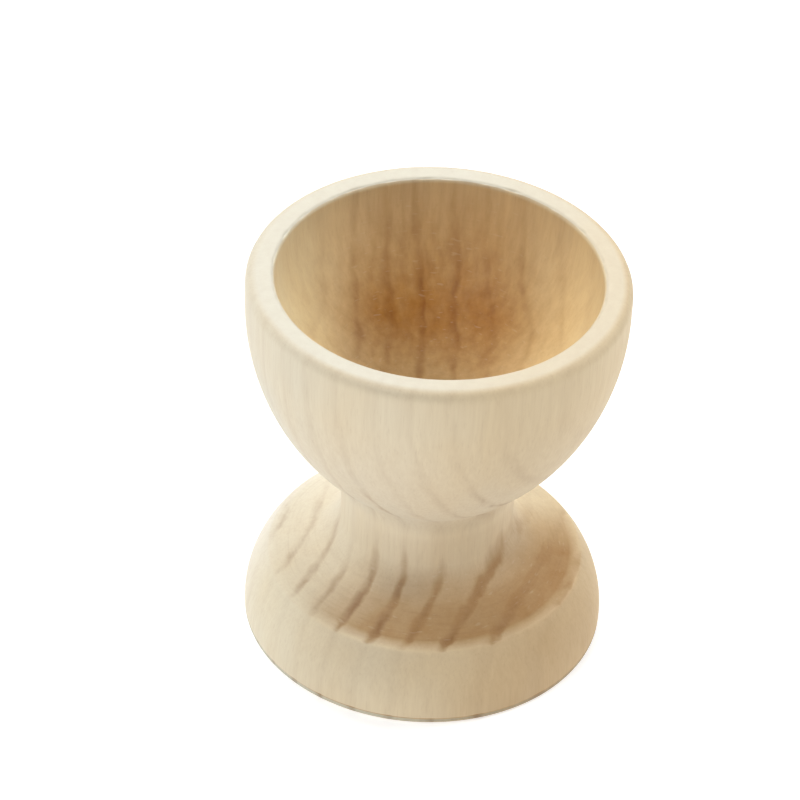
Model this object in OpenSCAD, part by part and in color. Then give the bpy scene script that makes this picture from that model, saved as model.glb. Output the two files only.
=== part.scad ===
// Egg cup turned from one piece of wood: a round bowl on a narrow neck and a coved foot.
// Millimetres. The cup stands on z = 0 and its turning axis is Z.

/* [Overall] */
// Height from the table to the top of the rim
cup_h = 54; // [51:0.5:60]

/* [Bowl] */
// Widest outside diameter, a little below the rim
bowl_d = 48; // [46:0.5:51]
// How far the widest line lies below the rim
bowl_wide_drop = 3.8; // [2:0.1:5]
// Radius of the outside curve, from the widest line down to the throat
bowl_curve_r = 33.6; // [31:0.1:36]
// Rounding of the rim's outer edge
rim_round_r = 1.4; // [0.6:0.1:2]
// Diameter of the mouth, which holds the egg
mouth_d = 40.8; // [38:0.2:43]
// Depth of the hollow, which ends in a half sphere as wide as the mouth
hollow_h = 21; // [20:0.5:26]
// Width of the small bevel on the inner edge of the rim
mouth_bevel = 0.4; // [0.2:0.1:0.8]

/* [Neck] */
// Diameter of the neck
neck_d = 22.2; // [18:0.2:25]
// Radius of the throat, where the neck sweeps out into the bowl
throat_r = 6; // [4:0.5:10]

/* [Foot] */
// Widest diameter of the foot
foot_d = 46.4; // [43:0.2:50]
// Height of that widest line above the table
foot_wide_h = 1.5; // [0.5:0.1:3]
// Diameter of the crisp edge between the foot's band and its cove
edge_d = 40.7; // [37:0.1:43]
// Height of the rounded band, from the table up to that edge
band_h = 9.75; // [8:0.05:11]
// How far the cove climbs from the edge to the line of the neck
cove_rise = 3.45; // [1.5:0.05:5]
// Radius of the cove, where its floor turns up into the neck
cove_r = 5; // [3:0.5:7]
// Width of the bevel around the underside
base_bevel = 0.5; // [0.2:0.1:1]

/* [Hidden] */
$fn = 192;

// Overrun of every cut past the face that it goes through
overrun = 1;
// How far a blending arc bites past its tangent, so that it meets its neighbours cleanly
blend_bite = 0.001;

bowl_r = bowl_d / 2;
mouth_r = mouth_d / 2;
neck_r = neck_d / 2;
foot_r = foot_d / 2;
edge_r = edge_d / 2;

// Bowl: its outside curve is one arc that ends upright on the widest line
bowl_wide_z = cup_h - bowl_wide_drop;
bowl_c = [bowl_r - bowl_curve_r, bowl_wide_z];

// Throat: one arc that leaves the neck upright and touches the bowl's arc
throat_x = neck_r + throat_r;
throat_gap = bowl_curve_r + throat_r - blend_bite;
throat_c = [throat_x, bowl_wide_z - sqrt(pow(throat_gap, 2) - pow(throat_x - bowl_c.x, 2))];
throat_in = throat_c + (bowl_c - throat_c) * (throat_r + overrun) / throat_gap;

// Hollow: the centre of its half sphere
hollow_z = cup_h - hollow_h + mouth_r;

// Band: one arc that is upright on the foot's widest line and passes through the crisp edge
band_in = foot_r - edge_r;
band_up = band_h - foot_wide_h;
band_curve_r = (pow(band_in, 2) + pow(band_up, 2)) / (2 * band_in);
band_c = [foot_r - band_curve_r, foot_wide_h];
base_r = band_c.x + sqrt(pow(band_curve_r, 2) - pow(foot_wide_h, 2));

// Cove: a sloping floor from the edge, and an arc that turns it up into the neck
cove_corner = [neck_r, band_h + cove_rise];
cove_slope = atan2(cove_rise, edge_r - neck_r);
cove_c = [neck_r + cove_r, cove_corner.y + cove_r / tan((90 + cove_slope) / 2)];
cove_bite = blend_bite * (cove_corner - cove_c) / norm(cove_corner - cove_c);
cove_in = cove_r + overrun;
cove_side = [cove_c.x - cove_in, cove_c.y];
cove_foot = cove_c - cove_in * [sin(cove_slope), cos(cove_slope)];

// The colour of bare pale wood
wood = [0.87, 0.78, 0.63];

module disc(centre, r) {
    translate(centre) circle(r);
}

// Half section of the foot: all that lies under the cove's floor and inside the band's arc
module foot_section() {
    out_x = foot_r + overrun;
    out_z = band_h - (out_x - edge_r) * tan(cove_slope);
    difference() {
        polygon([[0, 0], [out_x, 0], [out_x, out_z], cove_corner, [0, cove_corner.y]]);
        difference() {
            polygon([
                [band_c.x, -overrun],
                [out_x + overrun, -overrun],
                [out_x + overrun, band_h + overrun],
                [edge_r, band_h + overrun],
                band_c
            ]);
            disc(band_c, band_curve_r);
        }
        polygon([
            [base_r - base_bevel - overrun, -overrun],
            [base_r + overrun, -overrun],
            [base_r + overrun, base_bevel + overrun]
        ]);
    }
}

// Half section of the neck and of the two hollow curves that lead out of it
module neck_section() {
    square([neck_r, throat_c.y + overrun]);
    difference() {
        polygon([cove_c, cove_side, [cove_side.x, cove_foot.y], cove_foot]);
        disc(cove_c + cove_bite, cove_r);
    }
    difference() {
        polygon([[0, throat_c.y], throat_c, throat_in, [0, throat_in.y]]);
        disc(throat_c, throat_r);
    }
}

// Half section of the bowl as if it were solid
module bowl_section() {
    intersection() {
        translate([0, throat_c.y]) square([bowl_r + overrun, bowl_wide_z - throat_c.y]);
        disc(bowl_c, bowl_curve_r);
    }
    translate([0, bowl_wide_z]) square([bowl_r, bowl_wide_drop - rim_round_r]);
    translate([0, bowl_wide_z]) square([bowl_r - rim_round_r, bowl_wide_drop]);
    disc([bowl_r - rim_round_r, cup_h - rim_round_r], rim_round_r);
}

// Half section of the hollow, with the bevel at its mouth
module hollow_section() {
    disc([0, hollow_z], mouth_r);
    translate([0, hollow_z]) square([mouth_r, hollow_h - mouth_r + overrun]);
    polygon([
        [0, cup_h - mouth_bevel - mouth_r],
        [mouth_r + mouth_bevel + overrun, cup_h + overrun],
        [0, cup_h + overrun]
    ]);
}

module turned_cup() {
    color(wood) rotate_extrude() difference() {
        union() {
            foot_section();
            neck_section();
            bowl_section();
        }
        hollow_section();
    }
}

turned_cup();
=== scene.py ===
# Egg cup turned from one piece of pale bare wood: its turned shape, the finish of the wood,
# a pale floor, soft light and the camera. Blender 4.5, metres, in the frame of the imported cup.
import math

import bmesh
import bpy
from mathutils import Matrix, Vector


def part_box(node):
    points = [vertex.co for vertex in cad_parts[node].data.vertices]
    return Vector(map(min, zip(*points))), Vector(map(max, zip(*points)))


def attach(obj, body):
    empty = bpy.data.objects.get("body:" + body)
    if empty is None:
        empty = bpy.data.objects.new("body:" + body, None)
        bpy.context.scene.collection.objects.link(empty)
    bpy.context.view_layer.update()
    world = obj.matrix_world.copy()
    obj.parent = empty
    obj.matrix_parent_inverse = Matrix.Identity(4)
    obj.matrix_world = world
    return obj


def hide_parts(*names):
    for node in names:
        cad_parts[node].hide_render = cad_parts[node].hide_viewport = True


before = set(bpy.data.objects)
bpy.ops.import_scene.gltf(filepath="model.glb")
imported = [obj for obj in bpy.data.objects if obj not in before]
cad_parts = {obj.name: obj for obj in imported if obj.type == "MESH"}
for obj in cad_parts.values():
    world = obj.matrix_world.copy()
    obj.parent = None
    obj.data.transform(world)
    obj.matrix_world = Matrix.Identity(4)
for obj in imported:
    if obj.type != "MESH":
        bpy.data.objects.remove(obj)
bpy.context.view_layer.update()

# Millimetres in the frame's metres
MM = 0.001
CUP_LOW, CUP_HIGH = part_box("turned_cup")

# Driving sizes of the cup in millimetres. The height and the widest diameter come from the frame.
CUP_H = (CUP_HIGH.z - CUP_LOW.z) / MM
BOWL_R = (CUP_HIGH.x - CUP_LOW.x) / MM / 2
BOWL_WIDE_DROP = 3.8
BOWL_CURVE_R = 33.6
RIM_ROUND_R = 1.4
MOUTH_R = 20.4
MOUTH_BEVEL = 0.4
HOLLOW_H = 21
NECK_R = 11.1
THROAT_R = 6
FOOT_R = 23.2
FOOT_WIDE_H = 1.5
EDGE_R = 20.35
BAND_H = 9.75
COVE_RISE = 3.45
COVE_R = 5
BASE_BEVEL = 0.5

# How finely the turned skin is divided: along the section, on the hidden underside, and round it
SECTION_STEP = 0.4
BASE_STEP = 1.5
STEPS_ROUND = 300
# Points of the skin that lie closer than this are welded: along the seam and on the axis
WELD = 0.01
# How far a crisp corner is worn round to each side of it, the two at the rim's inner bevel, and
# the steps of such a curve
CORNER_WEAR = 0.22
LIP_WEAR = 0.27
WEAR_STEPS = 4
# Chips along the inner edge of the rim: how deep and long they are, the noise that bites, and its seed
CHIP_DEPTH = 0.22
CHIP_LENGTH = 2.0
CHIP_BITE = (0.5, 0.72)
CHIP_SEED = 7.0

# Name of the mesh attribute that says how the tool left the wood and where light and shade are painted: how
# open the end grain is, with painted light and a painted contact shadow at the ends of that scale, how torn
# the fibres are and how deep the hollow lies in painted shade, and how chipped the edge is
FINISH_AND_SHADE = "finish_and_shade"
# How open the end grain is, on a scale through these. Below sanded the wood is pale: sanded on the rim, and
# painted light on the rim's inner bevel. At the top of the scale the base's edge takes a painted contact
# shadow.
PALE_SANDED_AND_LIT, SANDED, AS_CUT, CONTACT_SHADOW_GREY = -1, 0, 1, 2
BAND_OPEN = 0.2
# The finish of each stretch of the outline, with the painted light and shade that go with it
BASE_FINISH = Vector((0.6, 0, 0))
# The bevel lies high on that scale: a painted contact shadow where the base meets the floor
BEVEL_SHADOW_FINISH = Vector((1.6, 0, 0))
BAND_FINISH = Vector((BAND_OPEN, 0, 0))
EDGE_FINISH = Vector((0.58, 0, 0))
COVE_FINISH = Vector((AS_CUT, 0, 0))
COVE_FOOT_FINISH = Vector((0.9, 0, 0))
COVE_TURN_FINISH = Vector((0.76, 0, 0))
NECK_FOOT_FINISH = Vector((0.48, 0, 0))
NECK_FINISH = Vector((0.1, 0, 0))
THROAT_FINISH = Vector((0.42, 0, 0))
BOWL_FINISH = Vector((SANDED, 0, 0))
RIM_FINISH = Vector((PALE_SANDED_AND_LIT, 0, 0))
# The rim's inner bevel lies in shade: it is painted pale, as painted light
LIP_FINISH = Vector((PALE_SANDED_AND_LIT, 0, 1))
LIP_FOOT_FINISH = Vector((-0.6, 0.3, 0))
# Their second part says how torn the hollow is and how deep it lies in painted shade
MOUTH_FINISH = Vector((SANDED, 0.4, 0))
HOLLOW_FINISH = Vector((SANDED, 0.95, 0))
BOTTOM_FINISH = Vector((SANDED, 0.8, 0))
# Where a finish changes: how far up from the bevel the painted contact shadow of the base reaches, the
# share of the cove's floor over which its end grain opens, from where on its rounding the rim is sanded
# pale, and how far down its half sphere the hollow is torn most and lies deepest in painted shade
CONTACT_SHADOW_H = 0.35
COVE_OPENING = 0.3
RIM_SANDED_FROM = math.radians(60)
HOLLOW_SHADED_MOST = math.radians(-45)

# Noise drawn out along the fibres: the size of its features across and along them in mm, and its detail
MOTTLE = (2.6, 8, 3.0)
WANDER = (24, 80, 1.0)
RIPPLE = (2.4, 10, 2.0)
STRAY = (6, 20, 2.0)
BREAK = (2.5, 5, 2.0)
BLOTCH = (9, 22, 2.0)
STREAK = (1.1, 40, 2.0)
FIBRE = (0.32, 7, 3.0)
PORE = (0.2, 2.2, 2.0)
# Noise drawn out round the turning axis, likewise
SCORE = (0.35, 5, 2.0)
FLECK = (0.3, 1.3, 0.0)
# The span in which most of a noise lies, and the spans that draw breaks, fibres, pores, scores and flecks
NOISE_SPAN = (0.3, 0.7)
BREAK_SPAN = (0.35, 0.65)
FIBRE_SPAN = (0.35, 0.7)
PORE_SPAN = (0.58, 0.7)
SCORE_SPAN = (0.5, 0.75)
FLECK_SPAN = (0.7, 0.82)

# Growth rings, in mm: how far outside the cup's axis their pith stands, its turn and its lean,
# their spacing, where one crosses the axis, and how far they wander broadly, finely and in torn wood
PITH_AWAY = 50
PITH_TURN = math.radians(16)
PITH_LEAN = math.radians(4)
RING_PITCH = 4.35
RING_START = 3.47
RING_WANDER = 0.7
RING_RIPPLE = 0.3
RING_STRAY = 0.8
# Where in a ring its dark late wood begins and peaks. Each ring's line has its own strength, drawn from
# this seed, and no line falls below these shares: the weakest ring, and the breaks in a line.
LATE_START = 0.58
LATE_PEAK = 0.84
RING_SEED = 3
LINE_WEAKEST = 0.55
LINE_BROKEN = 0.4
# How much of the lines shows where the wood is sanded, near the throat, open and torn, and the shares
# that are left where the rim is sanded pale and where the end grain is only half open
LINE_SANDED = 0.12
LINE_THROAT = 0.36
LINE_OPEN = 0.9
LINE_TORN = 0.4
LINE_PALE_LEFT = 0.3
LINE_HALF_LEFT = 0.4
HALF_OPEN = (0.6, AS_CUT)
# The lines on the foot fade along this turn about the axis, between these distances from it in mm, to
# this share
LINE_TURN = math.radians(-45)
LINE_FADE = (-12, 5)
LINE_FADED = 0.15

# Where the end grain counts as cut open, and how much sooner it does so in a line than between lines
CUT_OPEN = (0.3, 0.85)
LINE_REACH = (-0.12, 0.22)
# The open end grain darkens along this turn about the axis, between these distances from it in mm: its own
# darker colour, with painted shade towards the front right, where the bowl casts its shadow. The front has
# a little of that painted shade anyway, up to this distance behind the axis.
SHADE_TURN = math.radians(57)
SHADE_FADE = (-0.5, 10)
FRONT_SHADE = 0.14
FRONT_SHADE_FADE = (-4, 8)
# Lines and tool marks show a little less where the end grain lies out of the painted shade
PALE_OPEN = 0.95
PALE_OPEN_FADE = (FRONT_SHADE, 0.6)
# A share of that painted shade lies on the band too. It ends where the painted contact shadow of the base
# begins.
BAND_SHADE_SHARE = 0.18
SHADE_END = (AS_CUT, 1.3)
# Painted shade on the band: it darkens along a turn of its own, towards the front right, up to this share,
# and a little way over the crisp edge
BAND_TURN = math.radians(37)
BAND_DARK = (11.2, 21.7)
BAND_SHADE = 0.52
BAND_SHADE_REACH = 0.6
# The hollow is torn, and darker in painted shade, in a broad band up its back wall, which faces the front
# and
# lies in shadow: how far to the right of the axis its middle lies, how far from there it fades and how
# ragged it is, how far behind the axis it sets in, in mm, and the share of it that lies in front of that
BACK_BAND_MIDDLE = -0.6
BACK_BAND_FADE = (7.5, 22)
BACK_BAND_RAGGED = 1.5
BACK_BAND_SET_IN = (-3, 12)
BACK_BAND_FRONT = 0.25
# How rough torn wood is beside open end grain
TEAR_ROUGH = 0.75
# Painted light on the hollow's lit left wall, which is painted paler between these distances to the left of
# that middle, in mm
WALL_LIT = (9, 17)
# Mottle thins the painted shade on the open end grain and on the torn back of the hollow down to these
# shares
END_GRAIN_SHADE_THINNED = 0.88
BACK_SHADE_THINNED = 0.86

# The wood grows warmer away from the pith, over this stretch and with blotches this far off, in mm
AGE_SPAN = (-20, 20)
AGE_BLOTCH = 6
# The pale of the sanded rim thins along the same way, to this share
RIM_PALE_FADE = (0, 20)
RIM_PALE_LEFT = 0.5
# Painted light on the foot: its lit back-left side, opposite to the painted shade, is painted paler between
# these distances from the axis, up to these heights in mm, and less where it is cut open
LIT_FOOT_FADE = (-16, -5)
LIT_FOOT_TOP = (13, 18)
LIT_FOOT_OPEN = (0.3, 0.9)
LIT_FOOT_LEFT = 0.3
# Heights between which the painted light from the floor on the foot ends, and between which the painted
# shade under the bowl comes and goes
FLOOR_LIGHT_TOP = (8, 14)
UNDER_BOWL_RISE = (21, 26)
UNDER_BOWL_FADE = (26, 46)

# Colours of the wood: towards the pith, away from it, on the sanded rim and its inner bevel, where it is
# partly painted light, and the painted light on the foot's lit side
SAP_CREAM = (0.85, 0.785, 0.625, 1)
HEART_HONEY = (0.84, 0.68, 0.44, 1)
RIM_PALE = (0.845, 0.80, 0.665, 1)
FOOT_LIT_PALE = (0.94, 0.89, 0.76, 1)
# Tints that multiply them: open end grain with painted shade, painted shade on the hollow's torn back,
# painted warm bounce light in the hollow, painted light on its left wall, a painted contact shadow on the
# base's edge, painted shade under the bowl, painted light from the floor on the foot, and late wood
OPEN_GRAIN_SHADE_TINT = (0.57, 0.415, 0.27, 1)
TORN_SHADE_TINT = (0.49, 0.255, 0.06, 1)
HOLLOW_BOUNCE_TINT = (1.08, 1.04, 0.83, 1)
WALL_LIGHT_TINT = (1.15, 1.16, 1.13, 1)
CONTACT_SHADOW_TINT = (0.52, 0.61, 0.72, 1)
UNDER_BOWL_SHADE_TINT = (0.93, 0.985, 1.09, 1)
FLOOR_LIGHT_TINT = (1.03, 1.02, 0.98, 1)
LATE_TINT = (0.54, 0.40, 0.31, 1)
# How much the streaks, sanded and torn, the fibres, pores and scores darken the wood, how much the flecks
# lighten it, and how rough the wood is where they show fully
STREAK_SHOWN = 0.07
STREAK_TORN = 0.42
FIBRE_SHOWN = 0.08
PORE_SHOWN = 0.09
SCORE_SHOWN = 0.14
FLECK_SHOWN = 0.13
FLECK_ROUGH = 0.5
# The fibres' relief in mm, how much of it shows, and how deep pores and scores are beside it
FIBRE_RELIEF = 0.06
RELIEF_SHOWN = 0.16
PORE_DEPTH = 0.6
SCORE_DEPTH = 0.5
# How matt the wood is, between its fibres and on them, and its sheen
WOOD_ROUGHNESS = (0.5, 0.68)
WOOD_SHEEN = 0.3

# The photograph's frame and where the middle of the cup's axis lies in it, in pixels
PHOTO_SIDE = 800
AIM_PIXEL = (430.4, 445.0)
# The camera: its height angle, lean, distance from that middle, and focal length in pixels
VIEW_ELEVATION = math.radians(39.06)
VIEW_ROLL = math.radians(3.19)
VIEW_DISTANCE = 0.54
FOCAL_PIXELS = 4243
SENSOR_WIDTH = 36

# The floor: half its side in metres, its grey and how matt it is, and the light that it gives off
FLOOR_REACH = 1.5
FLOOR_GREY = 0.65
FLOOR_ROUGHNESS = 0.9
FLOOR_GLOW = 0.62
# Light of the white room
ROOM_LIGHT = 0.02
# Round softboxes: their diameter and distance from the cup in metres, and for each one its azimuth, from 0
# on the camera's side to 90 on its right, its elevation in degrees and its power in watts
SOFTBOX_SIZE = 0.5
SOFTBOX_DISTANCE = 1.2
SOFTBOXES = {
    "back_left_softbox": (225, 40, 5.7),
    "back_softbox": (175, 48, 3.8),
    "front_left_softbox": (320, 42, 5.5),
    "right_softbox": (106, 36, 5.9),
    "top_softbox": (0, 88, 1.8),
}


# Half section of the cup

def facing(angle):
    return Vector((math.cos(angle), math.sin(angle)))


def stretch(start, end, step=SECTION_STEP):
    """Evenly spaced points from start to end, without the last one."""
    count = max(1, round((end - start).length / step))
    return [start.lerp(end, i / count) for i in range(count)]


def arc(centre, radius, start, end):
    """Points on an arc from one angle to another, in radians, without the last one."""
    count = max(3, round(abs(end - start) * radius / SECTION_STEP))
    angles = [start + (end - start) * i / count for i in range(count)]
    return [centre + radius * facing(a) for a in angles]


def worn(corner, before, after, reach=CORNER_WEAR):
    """A crisp corner worn round: a short curve between the directions that meet there."""
    start = corner - before.normalized() * reach
    end = corner + after.normalized() * reach
    shares = [i / WEAR_STEPS for i in range(WEAR_STEPS + 1)]
    return [start.lerp(corner, t).lerp(corner.lerp(end, t), t) for t in shares]


def half_section():
    """The turned outline from the underside up the outside, over the rim and down the hollow.

    Each entry is a point, as radius and height, and how the tool left the wood there, with the painted
    light and shade that go with it.
    """
    bowl_wide_z = CUP_H - BOWL_WIDE_DROP
    bowl_c = Vector((BOWL_R - BOWL_CURVE_R, bowl_wide_z))
    throat_x = NECK_R + THROAT_R
    throat_gap = BOWL_CURVE_R + THROAT_R
    throat_drop = math.sqrt(throat_gap ** 2 - (throat_x - bowl_c.x) ** 2)
    throat_c = Vector((throat_x, bowl_wide_z - throat_drop))
    bowl_start = math.atan2(throat_c.y - bowl_c.y, throat_c.x - bowl_c.x)

    band_in = FOOT_R - EDGE_R
    band_up = BAND_H - FOOT_WIDE_H
    band_r = (band_in ** 2 + band_up ** 2) / (2 * band_in)
    band_c = Vector((FOOT_R - band_r, FOOT_WIDE_H))
    base_r = band_c.x + math.sqrt(band_r ** 2 - FOOT_WIDE_H ** 2)
    bevel_in = Vector((base_r - BASE_BEVEL, 0))
    band_start = math.asin((BASE_BEVEL - FOOT_WIDE_H) / band_r)
    bevel_out = band_c + band_r * facing(band_start)
    bevel_rise = bevel_out - bevel_in
    wear_angle = CORNER_WEAR / band_r
    band_low = band_start + 2 * wear_angle
    band_clean = band_low + CONTACT_SHADOW_H / band_r
    band_end = math.asin(band_up / band_r)
    edge = Vector((EDGE_R, BAND_H))

    cove_slope = math.atan2(COVE_RISE, EDGE_R - NECK_R)
    cove_turn = math.tan((math.pi / 2 + cove_slope) / 2)
    cove_c = Vector((NECK_R + COVE_R, BAND_H + COVE_RISE + COVE_R / cove_turn))
    cove_start = -math.pi / 2 - cove_slope
    cove_middle = (cove_start - math.pi) / 2
    cove_foot = cove_c + COVE_R * facing(cove_start)
    cove_climb = (cove_foot - edge).normalized()
    cove_open = edge.lerp(cove_foot, COVE_OPENING)

    rim_c = Vector((BOWL_R - RIM_ROUND_R, CUP_H - RIM_ROUND_R))
    lip = Vector((MOUTH_R + MOUTH_BEVEL, CUP_H))
    mouth = Vector((MOUTH_R, CUP_H - MOUTH_BEVEL))
    hollow_c = Vector((0, CUP_H - HOLLOW_H + MOUTH_R))
    # The worn edge reaches past the short upright wall into the half sphere
    hollow_start = math.asin((mouth.y - 2 * LIP_WEAR - hollow_c.y) / MOUTH_R)
    up, inward = Vector((0, 1)), Vector((-1, 0))

    section = []

    def cut(points, first, last):
        """Adds a stretch of the outline that goes from one finish to another."""
        for i, point in enumerate(points):
            section.append((point, first.lerp(last, i / len(points))))

    base_end = bevel_in + inward * CORNER_WEAR
    cut(stretch(Vector((0, 0)), base_end, BASE_STEP), BASE_FINISH, BASE_FINISH)
    cut(worn(bevel_in, -inward, bevel_rise), BASE_FINISH, BEVEL_SHADOW_FINISH)
    cut(worn(bevel_out, bevel_rise, facing(band_start + math.pi / 2)), BEVEL_SHADOW_FINISH, BEVEL_SHADOW_FINISH)
    cut(arc(band_c, band_r, band_low, band_clean), BEVEL_SHADOW_FINISH, BAND_FINISH)
    cut(arc(band_c, band_r, band_clean, band_end - 2 * wear_angle), BAND_FINISH, BAND_FINISH)
    cut(worn(edge, facing(band_end + math.pi / 2), cove_climb), BAND_FINISH, EDGE_FINISH)
    cut(stretch(edge + cove_climb * 2 * CORNER_WEAR, cove_open), EDGE_FINISH, COVE_FINISH)
    cut(stretch(cove_open, cove_foot), COVE_FINISH, COVE_FOOT_FINISH)
    cut(arc(cove_c, COVE_R, cove_start, cove_middle), COVE_FOOT_FINISH, COVE_TURN_FINISH)
    cut(arc(cove_c, COVE_R, cove_middle, -math.pi), COVE_TURN_FINISH, NECK_FOOT_FINISH)
    neck_low, neck_high = Vector((NECK_R, cove_c.y)), Vector((NECK_R, throat_c.y))
    cut(stretch(neck_low, neck_high), NECK_FOOT_FINISH, NECK_FINISH)
    cut(arc(throat_c, THROAT_R, math.pi, bowl_start + math.pi), NECK_FINISH, THROAT_FINISH)
    cut(arc(bowl_c, BOWL_CURVE_R, bowl_start, 0), THROAT_FINISH, BOWL_FINISH)
    wall_low, wall_high = Vector((BOWL_R, bowl_wide_z)), Vector((BOWL_R, rim_c.y))
    cut(stretch(wall_low, wall_high), BOWL_FINISH, BOWL_FINISH)
    cut(arc(rim_c, RIM_ROUND_R, 0, RIM_SANDED_FROM), BOWL_FINISH, BOWL_FINISH)
    cut(arc(rim_c, RIM_ROUND_R, RIM_SANDED_FROM, math.pi / 2), BOWL_FINISH, RIM_FINISH)
    rim_out, rim_in = Vector((rim_c.x, CUP_H)), lip - inward * 2 * CORNER_WEAR
    cut(stretch(rim_out, rim_in), RIM_FINISH, RIM_FINISH)
    cut(worn(lip, inward, mouth - lip, LIP_WEAR), RIM_FINISH, LIP_FINISH)
    cut(worn(mouth, mouth - lip, -up, LIP_WEAR), LIP_FOOT_FINISH, MOUTH_FINISH)
    cut(arc(hollow_c, MOUTH_R, hollow_start, HOLLOW_SHADED_MOST), MOUTH_FINISH, HOLLOW_FINISH)
    cut(arc(hollow_c, MOUTH_R, HOLLOW_SHADED_MOST, -math.pi / 2), HOLLOW_FINISH, BOTTOM_FINISH)
    cut([Vector((0, CUP_H - HOLLOW_H))], BOTTOM_FINISH, BOTTOM_FINISH)
    return section


# The turned piece

def add_node(tree, kind, inputs=None, **settings):
    """One node with its settings and inputs: a socket is linked, any other value is set."""
    node = tree.nodes.new(kind)
    for name, value in settings.items():
        setattr(node, name, value)
    for key, value in (inputs or {}).items():
        if isinstance(value, bpy.types.NodeSocket):
            tree.links.new(value, node.inputs[key])
        else:
            node.inputs[key].default_value = value
    return node


def lathe_tree():
    """Geometry nodes that turn a half section, drawn in the XZ plane, round Z and chip its edge."""
    tree = bpy.data.node_groups.new("turn_on_lathe", "GeometryNodeTree")
    inputs = [
        ("Half section", "NodeSocketGeometry"),
        ("Steps round", "NodeSocketInt"),
        ("Chip depth", "NodeSocketFloat"),
        ("Chip length", "NodeSocketFloat"),
        ("Chip seed", "NodeSocketFloat"),
        ("Wood", "NodeSocketMaterial"),
    ]
    for name, kind in inputs:
        tree.interface.new_socket(name, in_out="INPUT", socket_type=kind)
    tree.interface.new_socket("Turned piece", in_out="OUTPUT", socket_type="NodeSocketGeometry")
    given = add_node(tree, "NodeGroupInput").outputs

    def math_node(operation, first, second):
        return add_node(tree, "ShaderNodeMath", {0: first, 1: second}, operation=operation).outputs[0]

    def vector_node(operation, inputs):
        return add_node(tree, "ShaderNodeVectorMath", inputs, operation=operation).outputs[0]

    def drawn(value):
        """A value of the half section, read for each row of the grid."""
        return add_node(
            tree, "GeometryNodeSampleIndex",
            {"Geometry": given["Half section"], "Value": value, "Index": row},
            data_type="FLOAT_VECTOR", domain="POINT",
        ).outputs[0]

    rows = add_node(
        tree, "GeometryNodeAttributeDomainSize", {"Geometry": given["Half section"]}
    ).outputs["Point Count"]
    columns = math_node("ADD", given["Steps round"], 1)
    grid = add_node(tree, "GeometryNodeMeshGrid", {"Vertices X": columns, "Vertices Y": rows})
    index = add_node(tree, "GeometryNodeInputIndex").outputs[0]
    row = math_node("FLOORED_MODULO", index, rows)
    column = math_node("FLOOR", math_node("DIVIDE", index, rows), 0)
    turn = math_node("DIVIDE", math_node("MULTIPLY", column, math.tau), given["Steps round"])
    outline = drawn(add_node(tree, "GeometryNodeInputPosition").outputs[0])
    turned = add_node(
        tree, "ShaderNodeVectorRotate", {"Vector": outline, "Angle": turn}, rotation_type="Z_AXIS"
    ).outputs[0]
    finish = drawn(add_node(
        tree, "GeometryNodeInputNamedAttribute", {"Name": FINISH_AND_SHADE}, data_type="FLOAT_VECTOR"
    ).outputs[0])

    # An edge chips outwards and down, in short uneven stretches
    chipped = add_node(tree, "ShaderNodeSeparateXYZ", {0: finish}).outputs["Z"]
    chips_per_metre = math_node("DIVIDE", 1.0, given["Chip length"])
    uneven = add_node(
        tree, "ShaderNodeTexNoise",
        {"Vector": turned, "W": given["Chip seed"], "Scale": chips_per_metre},
        noise_dimensions="4D",
    ).outputs[0]
    bite = add_node(
        tree, "ShaderNodeMapRange",
        {"Value": uneven, "From Min": CHIP_BITE[0], "From Max": CHIP_BITE[1]},
    ).outputs[0]
    depth = math_node("MULTIPLY", math_node("MULTIPLY", bite, chipped), given["Chip depth"])
    outwards = vector_node("NORMALIZE", {0: vector_node("MULTIPLY", {0: turned, 1: (1, 1, 0)})})
    away = vector_node("ADD", {0: outwards, 1: (0, 0, -1)})
    placed = add_node(
        tree, "GeometryNodeSetPosition",
        {"Geometry": grid.outputs["Mesh"], "Position": turned,
         "Offset": vector_node("SCALE", {0: away, "Scale": depth})},
    )
    marked = add_node(
        tree, "GeometryNodeStoreNamedAttribute",
        {"Geometry": placed.outputs[0], "Name": FINISH_AND_SHADE, "Value": finish},
        data_type="FLOAT_VECTOR", domain="POINT",
    )
    closed = add_node(
        tree, "GeometryNodeMergeByDistance", {"Geometry": marked.outputs[0], "Distance": WELD * MM}
    )
    smooth = add_node(tree, "GeometryNodeSetShadeSmooth", {0: closed.outputs[0]})
    real = add_node(tree, "GeometryNodeRealizeInstances", {0: smooth.outputs[0]})
    finished = add_node(
        tree, "GeometryNodeSetMaterial", {"Geometry": real.outputs[0], "Material": given["Wood"]}
    )
    add_node(tree, "NodeGroupOutput", {0: finished.outputs[0]})
    return tree


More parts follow.
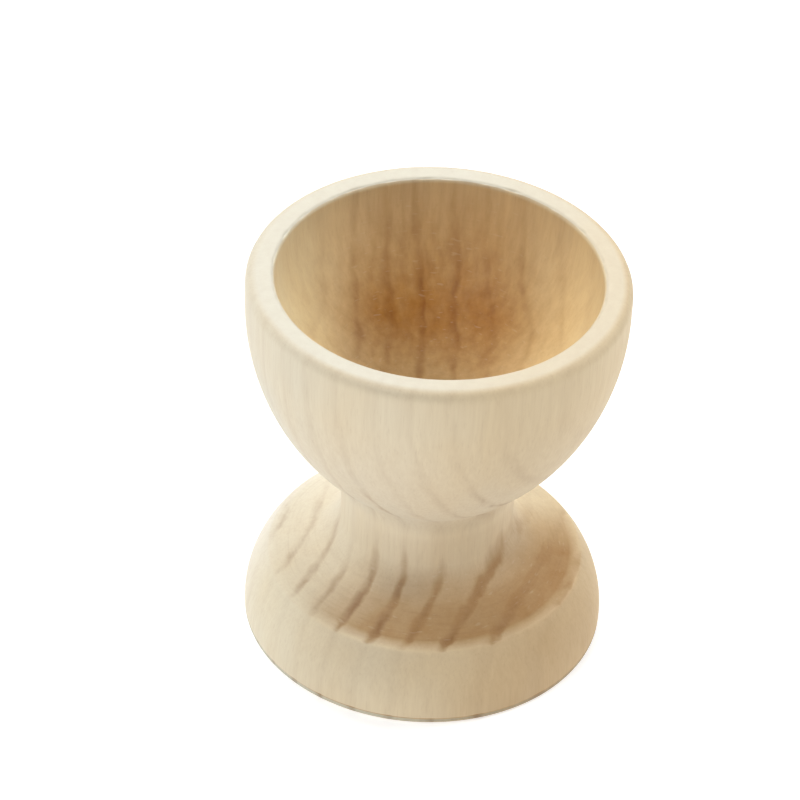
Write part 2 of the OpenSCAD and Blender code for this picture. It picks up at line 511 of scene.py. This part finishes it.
def turned_piece(name, section, wood):
    """The solid of revolution of a half section in millimetres, as a plain closed mesh."""
    drawn = bpy.data.meshes.new("half_section")
    drawn.from_pydata(
        [(point.x * MM, 0, point.y * MM) for point, finish in section],
        [(i, i + 1) for i in range(len(section) - 1)],
        [],
    )
    marks = drawn.attributes.new(FINISH_AND_SHADE, "FLOAT_VECTOR", "POINT")
    marks.data.foreach_set("vector", [part for point, finish in section for part in finish])
    blank = bpy.data.objects.new("blank", drawn)
    bpy.context.scene.collection.objects.link(blank)
    lathe = blank.modifiers.new("lathe", "NODES")
    tree = lathe_tree()
    lathe.node_group = tree
    values = {
        "Steps round": STEPS_ROUND,
        "Chip depth": CHIP_DEPTH * MM,
        "Chip length": CHIP_LENGTH * MM,
        "Chip seed": CHIP_SEED,
        "Wood": wood,
    }
    for item in tree.interface.items_tree:
        if item.in_out == "INPUT" and item.name in values:
            lathe[item.identifier] = values[item.name]
    ready = blank.evaluated_get(bpy.context.evaluated_depsgraph_get())
    mesh = bpy.data.meshes.new_from_object(ready)
    blank.modifiers.remove(lathe)
    bpy.data.objects.remove(blank)
    bpy.data.meshes.remove(drawn)

    skin = bmesh.new()
    skin.from_mesh(mesh)
    bmesh.ops.recalc_face_normals(skin, faces=skin.faces)
    skin.to_mesh(mesh)
    skin.free()
    mesh.name = name
    piece = bpy.data.objects.new(name, mesh)
    bpy.context.scene.collection.objects.link(piece)
    return piece


# The wood

class WoodNodes:
    """The wood's shader nodes, with short names for what they work out.

    A value is the socket of a node or a plain number.
    """

    def __init__(self, tree):
        self.tree = tree
        self.place = self.add("ShaderNodeTexCoord").outputs["Object"]
        self.rightwards, self.behind, self.up = self.parts(self.place)
        finish = self.add("ShaderNodeAttribute", attribute_name=FINISH_AND_SHADE).outputs["Vector"]
        self.openness, self.torn, _ = self.parts(finish)
        self.mottle = self.grain(*MOTTLE)

    def add(self, kind, inputs=None, **settings):
        return add_node(self.tree, kind, inputs, **settings)

    def parts(self, vector):
        return self.add("ShaderNodeSeparateXYZ", {0: vector}).outputs

    def vector(self, operation, inputs, output="Vector"):
        return self.add("ShaderNodeVectorMath", inputs, operation=operation).outputs[output]

    def work_out(self, operation, first, second=0.0):
        return self.add("ShaderNodeMath", {0: first, 1: second}, operation=operation).outputs[0]

    def plus(self, first, second):
        return self.work_out("ADD", first, second)

    def times(self, first, second):
        return self.work_out("MULTIPLY", first, second)

    def most(self, first, second):
        return self.work_out("MAXIMUM", first, second)

    def spread(self, value, limits, first, last):
        """A value between two limits, spread evenly from first to last and held there."""
        low, high = limits
        return self.add("ShaderNodeMapRange", {
            "Value": value, "From Min": low, "From Max": high, "To Min": first, "To Max": last,
        }).outputs[0]

    def spread_mm(self, length, limits, first, last):
        """The same for a length, with its limits in millimetres."""
        low, high = limits
        return self.spread(length, (low * MM, high * MM), first, last)

    def swing(self, noise, reach):
        """A length that noise swings to and fro by a reach in millimetres."""
        return self.spread(noise, NOISE_SPAN, -reach * MM, reach * MM)

    def turned(self, angle):
        """The place turned about the cup's axis, as its three parts."""
        turned = self.add("ShaderNodeMapping", {"Vector": self.place, "Rotation": (0, 0, angle)})
        return self.parts(turned.outputs[0])

    def grain(self, across, along, detail):
        """Noise drawn out along the fibres: the size of its features across and along them, in mm."""
        size = (1 / across / MM, 1 / across / MM, 1 / along / MM)
        drawn = self.add("ShaderNodeMapping", {"Vector": self.place, "Scale": size}).outputs[0]
        return self.add(
            "ShaderNodeTexNoise", {"Vector": drawn, "Scale": 1.0, "Detail": detail}
        ).outputs[0]

    def tool_marks(self, across, along, detail):
        """Noise drawn out round the axis: its features across and, at the mouth, along, in mm."""
        flat = self.vector("MULTIPLY", {0: self.place, 1: (1, 1, 0)})
        reach = self.vector("LENGTH", {0: flat}, "Value")
        side, depth, _ = self.parts(self.vector("NORMALIZE", {0: flat}))
        drawn = self.add("ShaderNodeCombineXYZ", {
            "X": self.work_out("DIVIDE", reach, across * MM),
            "Y": self.work_out("DIVIDE", self.up, across * MM),
            "Z": self.times(side, MOUTH_R / along),
        }).outputs[0]
        turn = self.times(depth, MOUTH_R / along)
        return self.add(
            "ShaderNodeTexNoise", {"Vector": drawn, "W": turn, "Scale": 1.0, "Detail": detail},
            noise_dimensions="4D",
        ).outputs[0]

    def laid_over(self, tone, share, colour, blend="MIX"):
        """A colour laid over a tone by a share. Inputs 0, 6 and 7 of the node are its share and colours."""
        return self.add(
            "ShaderNodeMix", {0: share, 6: tone, 7: colour}, data_type="RGBA", blend_type=blend
        ).outputs[2]

    def tinted(self, tone, share, tint):
        """A tone multiplied by a tint, by a share."""
        return self.laid_over(tone, share, tint, "MULTIPLY")


def growth_rings(wood):
    """How far from the axis the wood grew, away from the pith, and how dark its ring's line is there."""
    away, beside, _ = wood.turned(PITH_TURN)
    grown = wood.plus(away, wood.times(wood.up, math.tan(PITH_LEAN)))
    from_pith = wood.add(
        "ShaderNodeCombineXYZ", {"X": wood.plus(grown, PITH_AWAY * MM), "Y": beside}
    ).outputs[0]
    distance = wood.vector("LENGTH", {0: from_pith}, "Value")
    wander = wood.swing(wood.grain(*WANDER), RING_WANDER)
    ripple = wood.swing(wood.grain(*RIPPLE), RING_RIPPLE)
    stray = wood.times(wood.torn, wood.swing(wood.grain(*STRAY), RING_STRAY))
    wavy = wood.plus(wood.plus(distance, wander), wood.plus(ripple, stray))
    first_ring = (PITH_AWAY + RING_START - LATE_PEAK * RING_PITCH) * MM
    ring = wood.work_out("DIVIDE", wood.work_out("SUBTRACT", wavy, first_ring), RING_PITCH * MM)

    late = wood.add("ShaderNodeValToRGB", {0: wood.work_out("FRACT", ring)})
    ramp = late.color_ramp
    ramp.interpolation = "EASE"
    ramp.elements[0].color = (0, 0, 0, 1)
    ramp.elements[1].color = (0, 0, 0, 1)
    ramp.elements.new(LATE_START).color = (0, 0, 0, 1)
    ramp.elements.new(LATE_PEAK).color = (1, 1, 1, 1)

    number = wood.work_out("FLOOR", wood.plus(ring, RING_SEED))
    chance = wood.add("ShaderNodeTexWhiteNoise", {"W": number}, noise_dimensions="1D").outputs["Value"]
    broken = wood.spread(wood.grain(*BREAK), BREAK_SPAN, LINE_BROKEN, 1)
    strength = wood.times(wood.spread(chance, (0, 1), LINE_WEAKEST, 1), broken)
    return grown, wood.times(late.outputs["Color"], strength)


def torn_back(wood):
    """How torn the hollow is, and how deep in painted shade, in a broad band up its back wall."""
    aside = wood.work_out("ABSOLUTE", wood.work_out("SUBTRACT", wood.rightwards, BACK_BAND_MIDDLE * MM))
    ragged = wood.plus(aside, wood.swing(wood.mottle, BACK_BAND_RAGGED))
    band = wood.spread_mm(ragged, BACK_BAND_FADE, 1, 0)
    set_in = wood.spread_mm(wood.behind, BACK_BAND_SET_IN, BACK_BAND_FRONT, 1)
    return wood.times(wood.torn, wood.times(band, set_in))


def bare_wood():
    """Pale bare wood: leaning growth rings, fibres up the axis, darker where the end grain is open."""
    material = bpy.data.materials.new("bare_wood")
    material.use_nodes = True
    wood = WoodNodes(material.node_tree)
    shader = material.node_tree.nodes["Principled BSDF"]
    openness, torn, up = wood.openness, wood.torn, wood.up
    grown, line = growth_rings(wood)
    back_tear_and_shade = torn_back(wood)

    # Open end grain: where it is cut open, the painted shade laid on it towards the front right, and how
    # much of it marks show
    towards_shade = wood.turned(SHADE_TURN)[0]
    shaded_side = wood.most(
        wood.spread_mm(towards_shade, SHADE_FADE, 0, 1),
        wood.spread_mm(wood.behind, FRONT_SHADE_FADE, FRONT_SHADE, 0),
    )
    reaching = wood.plus(openness, wood.spread(line, (0, 1), *LINE_REACH))
    cut_open = wood.spread(reaching, CUT_OPEN, 0, 1)
    opened = wood.times(cut_open, wood.spread(shaded_side, PALE_OPEN_FADE, PALE_OPEN, 1))
    rough = wood.most(opened, wood.times(back_tear_and_shade, TEAR_ROUGH))

    # How much of the rings' lines shows
    lower_bowl = wood.times(wood.spread_mm(up, UNDER_BOWL_RISE, 0, 1), wood.spread_mm(up, UNDER_BOWL_FADE, 1, 0))
    under_bowl = wood.work_out("SUBTRACT", lower_bowl, torn)
    on_foot = wood.times(
        wood.spread_mm(wood.turned(LINE_TURN)[0], LINE_FADE, 1, LINE_FADED),
        wood.spread(openness, HALF_OPEN, LINE_HALF_LEFT, 1),
    )
    torn_lines = wood.times(back_tear_and_shade, LINE_TORN)
    shown = wood.times(wood.most(wood.times(opened, on_foot), torn_lines), LINE_OPEN)
    shown = wood.most(shown, wood.spread(under_bowl, (0, 1), LINE_SANDED, LINE_THROAT))
    not_pale = wood.spread(openness, (PALE_SANDED_AND_LIT, SANDED), LINE_PALE_LEFT, 1)
    shown = wood.times(shown, not_pale)

    # The wood's own colour, the sanded rim with painted light on its inner bevel, the painted light from
    # the floor on the foot, and painted light on the foot's lit back-left side
    blotched = wood.plus(grown, wood.swing(wood.grain(*BLOTCH), AGE_BLOTCH))
    tone = wood.laid_over(SAP_CREAM, wood.spread_mm(blotched, AGE_SPAN, 0, 1), HEART_HONEY)
    # The sanded rim is pale; on its inner bevel that pale is painted light
    pale_sanded_and_lit = wood.times(
        wood.spread(openness, (PALE_SANDED_AND_LIT, SANDED), 1, 0),
        wood.spread_mm(grown, RIM_PALE_FADE, 1, RIM_PALE_LEFT),
    )
    tone = wood.laid_over(tone, pale_sanded_and_lit, RIM_PALE)
    # Painted light: the foot, low down, is brightened as by light from the floor
    tone = wood.tinted(tone, wood.spread_mm(up, FLOOR_LIGHT_TOP, 1, 0), FLOOR_LIGHT_TINT)
    on_band_scale = (SANDED, BAND_OPEN)
    # Painted light on the foot's lit back-left side
    lit_foot = wood.times(
        wood.spread_mm(towards_shade, LIT_FOOT_FADE, 1, 0), wood.spread(openness, on_band_scale, 0, 1)
    )
    lit_foot = wood.times(lit_foot, wood.spread(openness, LIT_FOOT_OPEN, 1, LIT_FOOT_LEFT))
    lit_foot = wood.times(lit_foot, wood.spread_mm(up, LIT_FOOT_TOP, 1, 0))
    tone = wood.laid_over(tone, lit_foot, FOOT_LIT_PALE)

    # The open end grain's own darker colour with painted shade towards the front right, and the painted
    # shade on the band
    open_grain_and_band = wood.most(cut_open, wood.spread(openness, on_band_scale, 0, BAND_SHADE_SHARE))
    open_grain_and_band = wood.times(open_grain_and_band, wood.spread(openness, SHADE_END, 1, 0))
    # Painted shade on the band's front right
    band_shading = wood.times(
        wood.spread_mm(up, (BAND_H, BAND_H + BAND_SHADE_REACH), 1, 0),
        wood.spread_mm(wood.turned(BAND_TURN)[0], BAND_DARK, 0, BAND_SHADE),
    )
    open_grain_shade = wood.most(wood.times(shaded_side, open_grain_and_band), band_shading)
    open_grain_shade = wood.times(open_grain_shade, wood.spread(wood.mottle, NOISE_SPAN, END_GRAIN_SHADE_THINNED, 1))
    # Painted shade where the bowl shades the foot, with the open end grain's own darker colour
    tone = wood.tinted(tone, open_grain_shade, OPEN_GRAIN_SHADE_TINT)

    # The hollow: painted warm bounce light over it, painted light on its left wall, and painted shade with
    # torn grain up its back wall
    leftwards = wood.work_out("SUBTRACT", BACK_BAND_MIDDLE * MM, wood.rightwards)
    # Painted warm bounce light over the hollow
    tone = wood.tinted(tone, torn, HOLLOW_BOUNCE_TINT)
    # Painted light on the hollow's left wall
    tone = wood.tinted(tone, wood.times(torn, wood.spread_mm(leftwards, WALL_LIT, 0, 1)), WALL_LIGHT_TINT)
    mottled_back_shade = wood.times(back_tear_and_shade, wood.spread(wood.mottle, NOISE_SPAN, BACK_SHADE_THINNED, 1))
    # Painted shade on the hollow's back wall, with its torn grain
    tone = wood.tinted(tone, mottled_back_shade, TORN_SHADE_TINT)
    tone = wood.tinted(tone, wood.times(line, torn_lines), TORN_SHADE_TINT)

    # A painted contact shadow along the base's edge, painted shade under the bowl, and the rings' lines
    tone = wood.tinted(tone, wood.spread(openness, (AS_CUT, CONTACT_SHADOW_GREY), 0, 1), CONTACT_SHADOW_TINT)
    # Painted shade on the lower bowl, which faces down over the foot: greyer and cooler
    tone = wood.tinted(tone, wood.spread(under_bowl, (0, 1), 0, 1), UNDER_BOWL_SHADE_TINT)
    tone = wood.tinted(tone, wood.times(line, shown), LATE_TINT)

    # Streaks, fibres, pores, and the scores and flecks that the tool left
    streaky = wood.times(
        wood.spread(wood.grain(*STREAK), NOISE_SPAN, 0, 1),
        wood.spread(back_tear_and_shade, (0, 1), STREAK_SHOWN, STREAK_TORN),
    )
    tone = wood.tinted(tone, streaky, LATE_TINT)
    fibre = wood.grain(*FIBRE)
    pore = wood.spread(wood.grain(*PORE), PORE_SPAN, 0, 1)
    fine = wood.plus(wood.spread(fibre, FIBRE_SPAN, 0, FIBRE_SHOWN), wood.times(pore, PORE_SHOWN))
    tone = wood.tinted(tone, wood.times(fine, not_pale), LATE_TINT)
    scored = wood.times(wood.spread(wood.tool_marks(*SCORE), SCORE_SPAN, 0, 1), rough)
    tone = wood.tinted(tone, wood.times(scored, SCORE_SHOWN), LATE_TINT)
    fleck = wood.times(
        wood.spread(wood.tool_marks(*FLECK), FLECK_SPAN, 0, FLECK_SHOWN),
        wood.spread(rough, (0, FLECK_ROUGH), 0, 1),
    )
    tone = wood.laid_over(tone, fleck, SAP_CREAM)

    dents = wood.plus(wood.times(pore, PORE_DEPTH), wood.times(scored, SCORE_DEPTH))
    relief = wood.add("ShaderNodeBump", {
        "Height": wood.work_out("SUBTRACT", fibre, dents),
        "Strength": RELIEF_SHOWN,
        "Distance": FIBRE_RELIEF * MM,
    })
    wood.tree.links.new(tone, shader.inputs["Base Color"])
    wood.tree.links.new(wood.spread(fibre, NOISE_SPAN, *WOOD_ROUGHNESS), shader.inputs["Roughness"])
    wood.tree.links.new(relief.outputs[0], shader.inputs["Normal"])
    shader.inputs["Specular IOR Level"].default_value = WOOD_SHEEN
    return material


# Floor, light and camera

def pale_floor():
    """A wide sheet of white paper under the cup, lit evenly."""
    mesh = bpy.data.meshes.new("floor")
    r = FLOOR_REACH
    mesh.from_pydata([(-r, -r, 0), (r, -r, 0), (r, r, 0), (-r, r, 0)], [], [(0, 1, 2, 3)])
    floor = bpy.data.objects.new("floor", mesh)
    bpy.context.scene.collection.objects.link(floor)
    paper = bpy.data.materials.new("white_paper")
    paper.use_nodes = True
    shader = paper.node_tree.nodes["Principled BSDF"]
    shader.inputs["Base Color"].default_value = (FLOOR_GREY, FLOOR_GREY, FLOOR_GREY, 1)
    shader.inputs["Roughness"].default_value = FLOOR_ROUGHNESS
    shader.inputs["Emission Color"].default_value = (1, 1, 1, 1)
    shader.inputs["Emission Strength"].default_value = FLOOR_GLOW
    mesh.materials.append(paper)


def softbox(name, azimuth, elevation, power):
    """A round softbox aimed at the cup."""
    lamp = bpy.data.lights.new(name, "AREA")
    lamp.shape = "DISK"
    lamp.size = SOFTBOX_SIZE
    lamp.energy = power
    box = bpy.data.objects.new(name, lamp)
    bpy.context.scene.collection.objects.link(box)
    turn, rise = math.radians(azimuth), math.radians(elevation)
    out = math.cos(rise)
    towards = Vector((math.sin(turn) * out, -math.cos(turn) * out, math.sin(rise)))
    box.location = Vector((0, 0, CUP_H * MM / 2)) + towards * SOFTBOX_DISTANCE
    box.rotation_euler = towards.to_track_quat("Z", "Y").to_euler()


def soft_light():
    """A white room, and softboxes all around the cup and above it."""
    world = bpy.data.worlds.new("white_room")
    bpy.context.scene.world = world
    world.use_nodes = True
    room = world.node_tree.nodes["Background"]
    room.inputs["Color"].default_value = (1, 1, 1, 1)
    room.inputs["Strength"].default_value = ROOM_LIGHT
    for name, (azimuth, elevation, power) in SOFTBOXES.items():
        softbox(name, azimuth, elevation, power)


def photo_camera():
    """The camera at the photograph's viewing angle."""
    lens = bpy.data.cameras.new("camera")
    lens.sensor_width = SENSOR_WIDTH
    lens.lens = FOCAL_PIXELS * SENSOR_WIDTH / PHOTO_SIDE
    camera = bpy.data.objects.new("camera", lens)
    bpy.context.scene.collection.objects.link(camera)
    back = Vector((0, -math.cos(VIEW_ELEVATION), math.sin(VIEW_ELEVATION)))
    middle = Vector((0, 0, CUP_H * MM / 2))
    pan, tilt = [math.atan((p - PHOTO_SIDE / 2) / FOCAL_PIXELS) for p in AIM_PIXEL]
    camera.matrix_world = (
        Matrix.Translation(middle + back * VIEW_DISTANCE)
        @ Matrix.Rotation(math.pi / 2 - VIEW_ELEVATION, 4, "X")
        @ Matrix.Rotation(VIEW_ROLL, 4, "Z")
        @ Matrix.Rotation(tilt, 4, "X")
        @ Matrix.Rotation(pan, 4, "Y")
    )
    bpy.context.scene.camera = camera


photo_camera()
soft_light()
pale_floor()
cup = turned_piece("egg_cup", half_section(), bare_wood())
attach(cup, "root")
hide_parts("turned_cup")
bpy.context.scene.view_settings.view_transform = "Standard"
